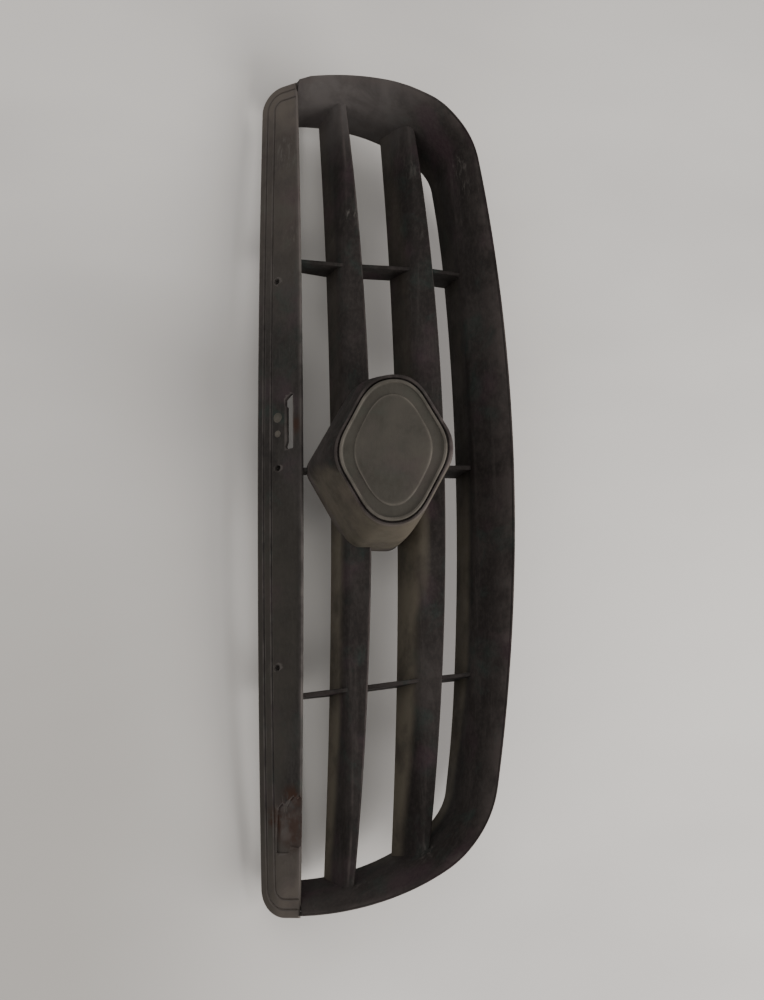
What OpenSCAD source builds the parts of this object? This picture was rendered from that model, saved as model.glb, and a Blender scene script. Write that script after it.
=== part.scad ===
// Moulded front grille: a sloping top rail, a funnel-shaped surround, two pairs of
// louvre bars, upright ribs and a raised badge seat, with its lower clips.
// X is across the vehicle, the front faces -Y, Z is up. All sizes are in millimetres.
// Every shape is drawn from the middle of the rail's front edge and then moved so
// that the origin is the middle of the middle screw hole.

/* [Bow] */
// How far the parts sweep back at bow_ref from the middle
bow_back = 18; // [12:0.5:24]
// Distance from the middle at which every bow is stated
bow_ref = 300; // [280:10:320]

/* [Outline] */
// Height of the surround's lowest point, below the rail's front edge
bottom_z = -147; // [-152:1:-142]
// Radius of the long bottom curve
bottom_r = 1386; // [1300:2:1500]
// Radius of the lower corners
corner_r = 84; // [78:1:90]
// Radius of the curved sides
side_r = 177; // [174:1:182]
// Distance of the side curve's centre from the middle
side_cx = 141.5; // [138:0.5:144]
// Height of the side curve's centre
side_cz = 6; // [2:1:10]

/* [Mouldings] */
// Wall thickness of the surround and the badge skirt
wall = 2.8; // [2.4:0.1:3.2]
// Wall thickness of the louvre bars
bar_wall = 2.8; // [2.4:0.1:3.2]
// Thickness of the upright ribs
rib_t = 3; // [2.5:0.1:3.5]
// Distance of the outer ribs from the middle, at the rail
rib_x = 165; // [155:1:175]
// Angle at which the outer ribs lean inwards on their way down
rib_lean = 6.3; // [0:0.1:8]

/* [Top rail] */
// Half of the rail's length
rail_half = 320; // [316:1:324]
// Depth of the rail, front edge to rear edge, seen from above
rail_depth = 29; // [28:0.5:31]
// How much shallower the rail is at bow_ref from the middle
rail_taper = 5; // [3:0.5:6]
// Radius of the rail's rear corners
rail_corner = 21; // [16:1:24]
// Radius of the screw holes
hole_r = 2.2; // [1.8:0.1:2.8]
// Distance between neighbouring screw holes
hole_pitch = 148; // [140:1:156]
// Distance of the middle screw hole from the grille's middle
hole_shift = 3.8; // [0:0.1:6]
// Length of the latch slot
slot_len = 42; // [34:1:48]
// Width of the latch slot
slot_w = 6.6; // [5:0.2:8]

/* [Badge seat] */
// Half of the badge plate's width
badge_half_w = 54; // [50:1:56]
// Half of the badge plate's height
badge_half_h = 45.5; // [42:0.5:47]
// Backward tilt of the badge plate
badge_tilt = 21; // [16:1:24]
// Distance of the plate's middle in front of the rail's front edge
badge_out = 66; // [60:1:70]
// Height of the plate's middle, below the rail's front edge
badge_z = -53; // [-55:1:-51]

/* [Lower clips] */
// Distances of the lower tabs from the middle
tab_x = [80, 200]; // [60:1:215]
// Width of a lower tab
tab_w = 26; // [20:1:30]

/* [Hidden] */

RIGHT = 1;
LEFT = -1;
arc_fn = 96;
big = 400;
plastic = [0.13, 0.125, 0.12];
steel = [0.62, 0.62, 0.6];

// The rail's top face rises at 45 degrees from this height at its front edge.
rail_lift = 1;
rail_skin = 3.8;
hole_y = 15.4;
origin = [hole_shift, hole_y + bow(hole_shift) + rail_skin / 4,
    hole_y + rail_lift - rail_skin / 4];

function bow(x) = bow_back * (x / bow_ref) ^ 2;
function smooth(t) = t * t * (3 - 2 * t);
function mix(a, b, t) = a + (b - a) * t;
function unit(v) = v / norm(v);
function left_normal(v) = [-v.y, v.x];
function cross2(a, b) = a.x * b.y - a.y * b.x;
// Where the line p + s*u meets the line q + t*v
function meet(p, u, q, v) = p + u * cross2(q - p, v) / cross2(u, v);

module placed() translate(-origin) children();

// ---- Outline of the surround, as three tangent arcs on each side ----
bottom_cz = bottom_z + bottom_r;
reach_side = side_r - corner_r;
reach_bottom = bottom_r - corner_r;
centre_gap = norm([side_cx, side_cz - bottom_cz]);
along = (reach_bottom ^ 2 - reach_side ^ 2 + centre_gap ^ 2) / (2 * centre_gap);
aside = sqrt(reach_bottom ^ 2 - along ^ 2);
to_side = unit([side_cx, side_cz - bottom_cz]);
corner_c = [0, bottom_cz] + to_side * along + left_normal(to_side) * aside;
// Angles are measured from straight down, turning towards +X.
bottom_end = atan2(corner_c.x, bottom_cz - corner_c.y);
corner_end = atan2(corner_c.x - side_cx, side_cz - corner_c.y);
side_end = 90;

function bottom_at(t) = let (a = bottom_end * t)
    [[0, bottom_cz] + bottom_r * [sin(a), -cos(a)], [-sin(a), cos(a)], abs(t)];
function corner_at(t) = let (a = mix(bottom_end, corner_end, t))
    [corner_c + corner_r * [sin(a), -cos(a)], [-sin(a), cos(a)], 1 + t];
function side_at(t) = let (a = mix(corner_end, side_end, t))
    [[side_cx, side_cz] + side_r * [sin(a), -cos(a)], [-sin(a), cos(a)], 2 + t];

// ---- Section of the surround: lip, sloping face, ridge, then a wall going back ----
// Each row: at the middle, at the foot of the corner, at its head, at the rail.
ridge_in = [25.6, 15, 12.5, 12.5];
wall_in = [30, 19.5, 23.5, 24.5];
lip_y = [-49, -50, -42, 11];
ridge_y = [-24.4, -15, -19.5, 28];
wall_y = [6.6, 17, 26.6, 49.4];
ridge_soft = [2, 4, 8, 8];
lip_return = 14;

function keyed_at(v, s) =
    s < 1 ? mix(v[0], v[1], s * s)
    : s < 2 ? mix(v[1], v[2], smooth(s - 1))
    : mix(v[2], v[3], 1 - cos(mix(corner_end, side_end, s - 2)) / cos(corner_end));
// A mean over a short stretch of the path, so that nothing changes with a kink
function keyed(v, s) = let (d = min(0.25, 3 - s))
    (keyed_at(v, abs(s - d)) + keyed_at(v, abs(s - d / 2)) + keyed_at(v, s)
        + keyed_at(v, s + d / 2) + keyed_at(v, s + d)) / 5;

// Outer and inner chains of points [inward distance, y] at path position s
function section(s) = let (
        lip = [0, keyed(lip_y, s)],
        ridge = [keyed(ridge_in, s), keyed(ridge_y, s)],
        rear = [keyed(wall_in, s), keyed(wall_y, s)],
        soft = keyed(ridge_soft, s),
        face = unit(ridge - lip),
        back = unit(rear - ridge),
        fn = left_normal(face) * wall,
        bn = left_normal(back) * wall,
        before = ridge - face * soft,
        after = ridge + back * soft,
        inner_ridge = meet(ridge + fn, face, ridge + bn, back),
        inner_lip = meet(lip + fn, face, [wall, 0], [0, 1]))
    [[lip + [0, lip_return], lip + [0, 1.4], lip + face * 1.4, before,
      (before + 2 * ridge + after) / 4, after, rear],
     [[wall, lip.y + lip_return], inner_lip + [0, 1.2], inner_lip + face * 1.2,
      before + fn - face, inner_ridge, after + bn + back, rear + bn]];

// The ends of the surround stop under the rail.
// Behind the rail's rear edge they drop away steeply.
function rail_underside(x, y) = let (p = y - bow(x), over = max(0, p - 23.5))
    max(-0.5, p - 3.5 * over + rail_lift - rail_skin);

function ring(station, at_rail) = let (s = section(station[2]))
    [for (chain = s) for (q = chain)
        let (p = station[0] + station[1] * q.x)
            [p.x, q.y, at_rail ? rail_underside(p.x, q.y) : p.y]];

// Closed thin-walled sweep through rings, each an outer and an inner chain of m points
module shell_sweep(rings, m) {
    n = len(rings);
    k = 2 * m;
    // The inner chain is walked backwards, to make one closed loop.
    loop = [for (i = [0:m - 1]) i, for (i = [0:m - 1]) k - 1 - i];
    sides = [for (r = [0:n - 2]) for (i = [0:k - 1])
        let (a = loop[i], b = loop[(i + 1) % k])
            each [[r * k + a, r * k + b, (r + 1) * k + b],
                  [r * k + a, (r + 1) * k + b, (r + 1) * k + a]]];
    caps = [for (i = [0:m - 2])
        each [[i, i + m, i + m + 1], [i, i + m + 1, i + 1]]];
    top = (n - 1) * k;
    lids = [for (f = caps) [f[2] + top, f[1] + top, f[0] + top]];
    polyhedron([for (r = rings) each r], concat(sides, caps, lids));
}

module surround_bottom() color(plastic) placed()
    shell_sweep([for (t = [-20:20]) ring(bottom_at(t / 20), false)], 7);

module surround_end(side) color(plastic) placed()
    mirror([side == LEFT ? 1 : 0, 0, 0])
        shell_sweep([for (t = [0:10]) ring(corner_at(t / 10), false),
            for (t = [1:9]) ring(side_at(t * 0.095), false),
            ring(side_at(1), true)], 7);

function sag_radius(sag) = bow_ref ^ 2 / (2 * sag) + sag / 2;

// ---- Exact bowed sweep of a section given as [y, z] points at the middle ----
// It sweeps back and up by the given rises at bow_ref, between two end distances.
module bowed(points, back, smile, x_from, x_to) {
    sag = norm([back, smile]);
    r = sag_radius(sag);
    c = back / sag;
    s = smile / sag;
    a0 = asin(x_from / r);
    a1 = asin(x_to / r);
    rotate([atan2(smile, back), 0, 0])
        translate([0, r, 0])
            rotate([0, 0, a0 - 90])
                rotate_extrude(angle = a1 - a0, $fn = 720)
                    polygon([for (p = points) [r - p.x * c - p.y * s, p.y * c - p.x * s]]);
}

// ---- Top rail ----
rail_half_sweep = rail_half + 4;
rear_back = bow_back - rail_taper;
plate_section = [[0, 1.2], [0.6, rail_lift + 0.6], [rail_depth + 4, rail_depth + 4 + rail_lift],
    [rail_depth + 4, rail_depth + 4 + rail_lift - rail_skin],
    [2.8, 2.8 + rail_lift - rail_skin], [1.2, 0]];
edge_section = [[rail_depth - 2, rail_depth - 2 + rail_lift], [rail_depth, rail_depth + 0.8],
    [rail_depth + 1, rail_depth + 0.6], [rail_depth + 1.6, rail_depth - 0.4],
    [rail_depth + 1.6, rail_depth - 7], [rail_depth - 0.8, rail_depth - 7],
    [rail_depth - 0.8, rail_depth - 3.8], [rail_depth - 2, rail_depth - 4]];
// Grooves follow the rear edge, at these distances in front of it
groove_in = [4.2, 9.2];
groove = 0.9;

// A place on the rail's top face, with +Z along the face's outward normal
module on_rail(x, y) translate([x, y + bow(x), y + rail_lift])
    rotate([0, 0, atan(2 * x * bow_back / bow_ref ^ 2)]) rotate([45, 0, 0]) children();

slot_x = 38;
slot_y = 7.8;
// Each pip: distance from the middle, radius
pips = [[42.5, 2.6], [30, 1.8]];
pip_y = 15.4;
pocket_x = [-272, -236];
pocket_y = [4, 19];
pocket_deep = 1.5;

// The rail's outline, seen along the normal of its top face
module rail_outline() {
    x = rail_half - rail_corner;
    y = rail_depth - rail_taper - rail_corner * cos(45);
    cube([2 * x, big, big], center = true);
    for (side = [LEFT, RIGHT])
        translate([side * x, y + bow(x), y + rail_lift]) rotate([45, 0, 0]) {
            cylinder(h = 80, r = rail_corner, center = true, $fn = arc_fn);
            translate([-rail_corner, -60, -40]) cube([2 * rail_corner, 60, 80]);
        }
}

module top_rail() color(plastic) placed() {
    rear_r = sag_radius(rear_back);
    difference() {
        intersection() {
            union() {
                difference() {
                    bowed(plate_section, bow_back, 0, -rail_half_sweep, rail_half_sweep);
                    translate([0, rail_depth + rear_r, -50])
                        cylinder(h = 150, r = rear_r, $fn = 2880);
                }
                bowed(edge_section, rear_back, -rail_taper, -rail_half_sweep, rail_half_sweep);
            }
            rail_outline();
        }
        for (g = groove_in) let (y = rail_depth - g)
            bowed([[y, y + rail_lift - groove], [y + 1, y + rail_lift + 2], [y - 1, y + rail_lift + 2]],
                rear_back, -rail_taper, -rail_half_sweep, rail_half_sweep);
        for (i = [-1:1])
            on_rail(hole_shift + i * hole_pitch, hole_y)
                cylinder(h = 20, r = hole_r, center = true, $fn = 48);
        on_rail(slot_x, slot_y)
            cube([slot_len, slot_w, 20], center = true);
        on_rail((pocket_x[0] + pocket_x[1]) / 2, (pocket_y[0] + pocket_y[1]) / 2)
            translate([0, 0, 5 - pocket_deep])
                cube([pocket_x[1] - pocket_x[0], (pocket_y[1] - pocket_y[0]) * sqrt(2), 10],
                    center = true);
    }
    for (p = pips)
        on_rail(p[0], pip_y) translate([0, 0, -0.3]) cylinder(h = 1, r = p[1], $fn = 48);
}

// ---- Louvre bars: a shelf running back from a ridge, and a face going down from it ----
// Each bar: ridge, rear edge of the shelf, lower edge of the face, then its smiles.
upper_bar = [[-3.8, -29.2], [23.8, -24.8], [-9.7, -48.9], 5.3, 12.3];
lower_bar = [[-19.4, -80.5], [9.3, -72.3], [-24.5, -101], 7.5, 16.2];

function bar_section(b) = let (
        ridge = b[0], rear = b[1], low = b[2],
        shelf = unit(ridge - rear), face = unit(low - ridge),
        sn = left_normal(shelf) * bar_wall, fn = left_normal(face) * bar_wall)
    [rear, ridge - shelf * 2, ridge + (face - shelf) * 0.45, ridge + face * 2,
     low - face * 1.2, low + fn * 0.3, low + fn * 0.7 + [0, 0.1], low + fn - face * 1,
     meet(ridge + fn, face, rear + sn, shelf), rear + sn];

// Point of the surround's wall at height z: ridge or rear edge, as [x, y, lean]
function side_wall(z, inward, depths) = let (
        t_of = asin((side_cz - z) / (side_r - inward)),
        t = (90 - t_of - corner_end) / (90 - corner_end))
    [side_cx + (side_r - inward) * cos(t_of), keyed(depths, 2 + t), t_of];

// Everything beyond the surround's inner wall, at height z
module beyond_wall(z) {
    a = side_wall(z, ridge_in[3], ridge_y);
    b = side_wall(z, wall_in[3], wall_y);
    translate([a.x, a.y, z])
        rotate([0, a[2], 0])
            rotate([0, 0, atan((a.x - b.x) / (b.y - a.y))])
                translate([0.5, -big / 4, -big / 4]) cube(big / 2);
}

module bar_half(b, side) color(plastic) placed()
    mirror([side == LEFT ? 1 : 0, 0, 0])
        difference() {
            intersection() {
                bowed(bar_section(b), bow_back, b[3], rib_t / 2, 316);
                // The face gets shallower towards its ends.
                r = bow_ref ^ 2 / (2 * b[4]);
                translate([0, big / 2, b[2].y + r]) rotate([90, 0, 0])
                    cylinder(h = big, r = r, $fn = 1440);
            }
            beyond_wall(b[0].y + b[3] * 0.9 - 4);
            badge_prism(0);
        }

// ---- Upright ribs ----
function lifted(p, x, smile) = p + [bow(x), smile * (x / bow_ref) ^ 2];
function rib_at(z) = rib_x + z * tan(rib_lean);
function bar_under(b, x) = let (q = bar_section(b))
    [for (i = [9, 8, 7]) lifted(q[i], x, b[3])];
function bar_over(b, x) = [lifted(b[0] + [0.8, 0.3], x, b[3]), lifted(b[1], x, b[3])];
// The surround's ridge and shelf edge near distance x from the middle
function floor_at(x) = let (s = section(x / (bottom_r * sin(bottom_end))),
        z = bottom_cz - sqrt(bottom_r ^ 2 - x ^ 2))
    [[s[0][5].y, z + s[0][5].x], [s[0][6].y, z + s[0][6].x]];

// A flat rib that crosses z = 0 at distance x from the middle, points as [y, z]
module rib(points, x) color(plastic) placed()
    mirror([x < 0 ? 1 : 0, 0, 0]) translate([abs(x), 0, 0]) {
        lean = x == 0 ? 0 : rib_lean;
        rotate([0, lean, 0]) translate([-rib_t / 2, 0, 0]) rotate([90, 0, 90])
            linear_extrude(rib_t) polygon([for (p = points) [p.x, p.y / cos(lean)]]);
    }

module rib_upper(side) {
    x = rib_at(-25);
    y = upper_bar[1].x + bow(x);
    rib(concat([[y, rail_underside(rib_x, y)], [2.2 + bow(x), -0.6]],
        bar_over(upper_bar, x)), side * rib_x);
}

module rib_middle(side) {
    x = rib_at(-60);
    rib(concat(bar_under(upper_bar, x), bar_over(lower_bar, x)), side * rib_x);
}

module rib_lower(side) {
    x = rib_at(-105);
    rib(concat(bar_under(lower_bar, x), floor_at(x)), side * rib_x);
}

module centre_rib_upper()
    difference() {
        // Its rear edge stays in front of the middle screw hole.
        rib([[13, rail_underside(0, 13)], [2.2, -0.6], [0.5, -10], [13, -10]], 0);
        color(plastic) placed() badge_prism(0);
    }

module centre_rib_lower()
    difference() {
        rib(concat([[8, -88], [-18, -88]], floor_at(0)), 0);
        color(plastic) placed() badge_prism(0);
    }

// ---- Badge seat: a rounded six-sided tower with a tilted front ----
base_grow = 5;
base_cz = -52;
base_rear_y = 6;
base_front_y = -34;
hex_steps = 8;

// Rounded six-sided outline, with points at the top and the bottom
function hexagon(w, h, round) = let (
        flat = 0.34,
        corners = [[w, flat * h], [0, h], [-w, flat * h],
                   [-w, -flat * h], [0, -h], [w, -flat * h]])
    [for (i = [0:5]) let (p = corners[i],
            u = corners[(i + 5) % 6] - p,
            v = corners[(i + 1) % 6] - p,
            a = unit(u) * min(round, 0.48 * norm(u)),
            b = unit(v) * min(round, 0.48 * norm(v)))
        for (k = [0:hex_steps]) let (t = k / hex_steps)
            p + a * (1 - t) ^ 2 + b * t ^ 2];

function base_hex(inset) = hexagon(badge_half_w + base_grow - inset,
    badge_half_h + base_grow - inset, 12);
function face_hex(inset) = hexagon(badge_half_w - inset, badge_half_h - inset, 18);

// A point of the tilted front, from its own across and up distances
function on_face(p, deep) =
    [p.x, -badge_out + p.y * sin(badge_tilt) + deep * cos(badge_tilt),
     badge_z + p.y * cos(badge_tilt) - deep * sin(badge_tilt)];
function on_base(p, y) = [p.x, y, base_cz + p.y];

module badge_prism(inset)
    translate([0, big / 2, base_cz]) rotate([90, 0, 0])
        linear_extrude(big) polygon(base_hex(inset));

module badge_space() translate([0, -badge_out, badge_z]) rotate([90 - badge_tilt, 0, 0])
    children();

module badge_skirt() color(plastic) placed() badge_shell();

module badge_shell() {
    skin = 2.6;
    plate = 6;
    m = 6 * (hex_steps + 1);
    // The waist keeps clear of the tilted front, which slopes back towards its top.
    function waist(p) = [p.x, mix(base_front_y, on_face(p, 0).y, 0.35), base_cz + p.y];
    outer = [for (p = base_hex(0)) on_base(p, base_rear_y),
             for (p = base_hex(0)) on_base(p, base_front_y * 0.5),
             for (p = base_hex(0.6)) waist(p),
             for (p = face_hex(-1.2)) on_face(p, 3),
             for (p = face_hex(0)) on_face(p, 0.6)];
    inner = [for (p = base_hex(skin)) on_base(p, base_rear_y),
             for (p = base_hex(skin)) on_base(p, base_front_y * 0.5),
             for (p = base_hex(0.6 + skin)) waist(p),
             for (p = face_hex(skin)) on_face(p, plate),
             for (p = face_hex(skin)) on_face(p, 0.6)];
    n = 5;
    inner_from = n * m;
    function band(from, r, flip) = [for (i = [0:m - 1])
        let (a = from + r * m + i, b = from + r * m + (i + 1) % m)
            each flip ? [[a, b, b + m], [a, b + m, a + m]]
                      : [[b + m, b, a], [a + m, b + m, a]]];
    function rim(r, flip) = [for (i = [0:m - 1])
        let (a = r * m + i, b = r * m + (i + 1) % m)
            each flip ? [[a, b, b + inner_from], [a, b + inner_from, a + inner_from]]
                      : [[b + inner_from, b, a], [a + inner_from, b + inner_from, a]]];
    polyhedron(concat(outer, inner), concat(
        [for (r = [0:n - 2]) each band(0, r, false)],
        [for (r = [0:n - 2]) each band(inner_from, r, true)],
        rim(0, true), rim(n - 1, false)));
}

stud_spots = [[-26, 6], [26, 6], [0, -22]];
stud_r = 2.4;
backing_deep = 3.3;
backing_t = 2.6;

// Flat plate just inside the skirt, with a hole for each stud of the badge plate
module badge_backing() color(plastic) placed() badge_space()
    difference() {
        translate([0, 0, -backing_deep - backing_t])
            linear_extrude(backing_t) polygon(face_hex(2.6));
        for (p = stud_spots)
            translate([p.x, p.y, -15]) cylinder(h = 20, r = stud_r + 0.15, $fn = 48);
    }

// Plain pad with a raised rim and a low concentric panel, carried on three studs
module badge_plate() color([0.2, 0.2, 0.19]) placed() badge_space() {
    difference() {
        translate([0, 0, -backing_deep]) linear_extrude(backing_deep + 0.6)
            polygon(face_hex(2.6));
        translate([0, 0, -0.8]) linear_extrude(5) polygon(face_hex(5.4));
    }
    translate([0, 0, -1]) linear_extrude(1) polygon(face_hex(14));
    for (p = stud_spots)
        translate([p.x, p.y, -backing_deep - 7]) cylinder(h = 8, r = stud_r, $fn = 48);
}

module badge_push_nuts() color(steel) placed() badge_space()
    for (p = stud_spots)
        translate([p.x, p.y, -backing_deep - backing_t - 0.8])
            difference() {
                cylinder(h = 0.8, r = 6, $fn = 48);
                translate([0, 0, -1]) cylinder(h = 3, r = stud_r, $fn = 48);
            }

// ---- Lower tabs: plates behind the bottom lip, each with a window for a clip ----
tab_t = 2.8;
tab_y = [-36, 14];
window = [12, 9];
clip_t = 0.7;

module at_tab(x) {
    a = asin(x / (bottom_r - wall));
    translate([x, 0, bottom_cz - (bottom_r - wall) * cos(a)])
        rotate([0, -a, 0]) children();
}

module lower_tab(x) color(plastic) placed() at_tab(x)
    difference() {
        union() {
            translate([-tab_w / 2, tab_y[0], 0]) cube([tab_w, tab_y[1] - tab_y[0] - 6, tab_t]);
            translate([-tab_w / 2 + 6, tab_y[0], 0]) cube([tab_w - 12, tab_y[1] - tab_y[0], tab_t]);
            for (s = [LEFT, RIGHT])
                translate([s * (tab_w / 2 - 6), tab_y[1] - 6, 0])
                    cylinder(h = tab_t, r = 6, $fn = 64);
        }
        translate([-window.x / 2, tab_y[1] - 16, -1]) cube([window.x, window.y, tab_t + 2]);
    }

// Spring steel clips, folded over the rear edge of each tab
module lower_spring_clips() color(steel) placed()
    for (side = [LEFT, RIGHT]) for (x = tab_x) at_tab(side * x)
        translate([-5, 0, 0]) {
            for (z = [-clip_t, tab_t])
                translate([0, tab_y[1] - 13, z]) cube([10, 13 + clip_t, clip_t]);
            translate([0, tab_y[1], 0]) cube([10, clip_t, tab_t]);
            translate([0, tab_y[1] - 12.6, -clip_t]) rotate([30, 0, 0]) mirror([0, 1, 0])
                cube([10, 5, clip_t]);
        }

top_rail();
surround_bottom();
surround_end(LEFT);  // surround_left
surround_end(RIGHT);  // surround_right
bar_half(upper_bar, LEFT);  // upper_bar_left
bar_half(upper_bar, RIGHT);  // upper_bar_right
bar_half(lower_bar, LEFT);  // lower_bar_left
bar_half(lower_bar, RIGHT);  // lower_bar_right
rib_upper(LEFT);  // left_rib_upper
rib_middle(LEFT);  // left_rib_middle
rib_lower(LEFT);  // left_rib_lower
rib_upper(RIGHT);  // right_rib_upper
rib_middle(RIGHT);  // right_rib_middle
rib_lower(RIGHT);  // right_rib_lower
centre_rib_upper();
centre_rib_lower();
badge_skirt();
badge_backing();
badge_plate();
badge_push_nuts();
lower_tab(-tab_x[1]);  // lower_tab_outer_left
lower_tab(-tab_x[0]);  // lower_tab_inner_left
lower_tab(tab_x[0]);  // lower_tab_inner_right
lower_tab(tab_x[1]);  // lower_tab_outer_right
lower_spring_clips();
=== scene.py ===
"""Front grille of weathered dark plastic in front of a pale sheet.

Shapes are worked out in millimetres from the middle of the top rail's front edge,
as in the CAD model, and place() turns them into metres in the frame's axes.
"""
import math

import bmesh
import bpy
from mathutils import Matrix, Vector


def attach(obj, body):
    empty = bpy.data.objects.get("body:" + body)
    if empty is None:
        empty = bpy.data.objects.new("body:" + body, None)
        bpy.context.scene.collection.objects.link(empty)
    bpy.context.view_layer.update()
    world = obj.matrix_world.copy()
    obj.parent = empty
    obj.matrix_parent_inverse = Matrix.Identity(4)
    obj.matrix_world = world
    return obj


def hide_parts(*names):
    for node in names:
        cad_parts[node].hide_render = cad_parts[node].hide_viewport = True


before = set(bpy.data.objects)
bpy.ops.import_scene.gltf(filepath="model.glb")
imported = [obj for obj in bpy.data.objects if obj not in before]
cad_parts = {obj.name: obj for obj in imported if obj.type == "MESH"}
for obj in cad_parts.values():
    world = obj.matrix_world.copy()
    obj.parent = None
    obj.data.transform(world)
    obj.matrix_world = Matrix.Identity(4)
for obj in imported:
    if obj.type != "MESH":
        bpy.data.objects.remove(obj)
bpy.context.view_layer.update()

# ---- Driving sizes, in millimetres ----
ORIGIN = Vector((3.8, 16.3529, 15.45))  # the frame's zero, on the middle screw hole's axis
BOW, BOW_REF = 18.0, 300.0  # how far back the front has curved, this far from the middle
BOTTOM_Z, BOTTOM_R = -147.0, 1386.0
CORNER_R, SIDE_R = 84.0, 177.0
SIDE_CX, SIDE_CZ = 141.5, 6.0
WALL = 2.8
RIB_T, RIB_X = 3.0, 165.0
RAIL_HALF, RAIL_DEPTH, RAIL_TAPER, RAIL_CORNER = 320.0, 29.0, 5.0, 21.0
RAIL_LIFT, RAIL_SKIN = 1.0, 3.8
HOLE_R, HOLE_PITCH, HOLE_SHIFT, HOLE_Y = 2.2, 148.0, 3.8, 15.4
SLOT_X, SLOT_Y, SLOT_LEN, SLOT_W = 38.0, 7.8, 42.0, 6.6
PIPS, PIP_Y = ((42.5, 2.6), (30.0, 1.8)), 15.4
POCKET_X, POCKET_DEEP = (-272.0, -236.0), 1.5
BADGE_W, BADGE_H, BADGE_OUT, BADGE_Z = 54.0, 45.5, 66.0, -53.0
BADGE_TILT = math.radians(21)
SEAT_GROW, SEAT_Z, SEAT_REAR, SEAT_FRONT = 5.0, -52.0, 6.0, -34.0
HEX_FLAT = 0.34


def place(x, y, z):
    """A point in millimetres from the rail's front edge, in metres in the frame."""
    return (Vector((x, y, z)) - ORIGIN) / 1000


def bow(x):
    return BOW * (x / BOW_REF) ** 2


def mix(a, b, t):
    return a + (b - a) * t


def smooth(t):
    return t * t * (3 - 2 * t)


def steps(a, b, count):
    return [mix(a, b, i / count) for i in range(count + 1)]


# ---- Camera: in front of the grille and above it, with +X at the top of the picture ----
def camera(eye, azimuth, elevation, roll, lens):
    az, el, turn = (math.radians(a) for a in (azimuth, elevation, roll))
    ahead = Vector((math.sin(az) * math.cos(el), math.cos(az) * math.cos(el), -math.sin(el)))
    up = Vector((1, 0, 0))
    up = (up - ahead * up.dot(ahead)).normalized()
    right = ahead.cross(up)
    across = right * math.cos(turn) + up * math.sin(turn)
    upward = up * math.cos(turn) - right * math.sin(turn)
    data = bpy.data.cameras.new("camera")
    data.lens = lens
    data.clip_start, data.clip_end = 0.05, 20
    obj = bpy.data.objects.new("camera", data)
    turned = Matrix((across, upward, -ahead)).transposed().to_4x4()
    obj.matrix_world = Matrix.Translation(eye) @ turned
    bpy.context.scene.collection.objects.link(obj)
    bpy.context.scene.camera = obj


camera(place(-283.4, -1126.2, 186.8), azimuth=13.09, elevation=12.0, roll=-0.89, lens=57.6)


# ---- Node helpers ----
class Nodes:
    """A short way to build a material's node tree."""

    def __init__(self, name):
        self.material = bpy.data.materials.new("surface_" + name)
        self.material.use_nodes = True
        self.tree = self.material.node_tree
        self.shader = self.tree.nodes["Principled BSDF"]
        self.output = self.tree.nodes["Material Output"]
        self.coords = self.tree.nodes.new("ShaderNodeTexCoord").outputs["Object"]

    def link(self, a, b):
        if isinstance(a, (int, float)):
            b.default_value = a
        elif isinstance(a, (tuple, list)):
            b.default_value = (*a, 1.0)[:len(b.default_value)]
        else:
            self.tree.links.new(a, b)

    def scaled(self, factors):
        node = self.tree.nodes.new("ShaderNodeMapping")
        node.inputs["Scale"].default_value = factors
        self.link(self.coords, node.inputs["Vector"])
        return node.outputs["Vector"]

    def noise(self, scale, detail=3.0, rough=0.55, stretch=(1, 1, 1), distortion=0.0):
        node = self.tree.nodes.new("ShaderNodeTexNoise")
        self.link(self.scaled(stretch), node.inputs["Vector"])
        node.inputs["Scale"].default_value = scale
        node.inputs["Detail"].default_value = detail
        node.inputs["Roughness"].default_value = rough
        node.inputs["Distortion"].default_value = distortion
        return node.outputs["Fac"]

    def ramp(self, value, low, high, bottom=0.0, top=1.0):
        node = self.tree.nodes.new("ShaderNodeMapRange")
        node.interpolation_type = "SMOOTHSTEP"
        self.link(value, node.inputs["Value"])
        for name, v in zip(("From Min", "From Max", "To Min", "To Max"), (low, high, bottom, top)):
            node.inputs[name].default_value = v
        return node.outputs["Result"]

    def math(self, operation, a, b=0.0):
        node = self.tree.nodes.new("ShaderNodeMath")
        node.operation = operation
        self.link(a, node.inputs[0])
        self.link(b, node.inputs[1])
        return node.outputs[0]

    def product(self, *values):
        result = values[0]
        for value in values[1:]:
            result = self.math("MULTIPLY", result, value)
        return result

    def blend(self, factor, a, b):
        node = self.tree.nodes.new("ShaderNodeMix")
        node.data_type = "RGBA"
        self.link(factor, node.inputs[0])
        self.link(a, node.inputs[6])
        self.link(b, node.inputs[7])
        return node.outputs[2]

    def part(self, vector, index):
        node = self.tree.nodes.new("ShaderNodeSeparateXYZ")
        self.link(vector, node.inputs[0])
        return node.outputs[index]

    def geometry(self, output):
        return self.tree.nodes.new("ShaderNodeNewGeometry").outputs[output]

    def attribute(self, name):
        node = self.tree.nodes.new("ShaderNodeAttribute")
        node.attribute_name = name
        return node.outputs["Fac"]

    def near(self, x, y, z, reach):
        """1 at a place given in millimetres, falling to 0 at reach from it."""
        node = self.tree.nodes.new("ShaderNodeVectorMath")
        node.operation = "DISTANCE"
        self.link(self.coords, node.inputs[0])
        node.inputs[1].default_value = place(x, y, z)
        return self.ramp(node.outputs["Value"], reach / 1000, reach * 0.25 / 1000)

    def bump(self, height, distance, strength=1.0, base=None):
        node = self.tree.nodes.new("ShaderNodeBump")
        node.inputs["Strength"].default_value = strength
        node.inputs["Distance"].default_value = distance
        self.link(height, node.inputs["Height"])
        if base is not None:
            self.link(base, node.inputs["Normal"])
        return node.outputs["Normal"]


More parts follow.
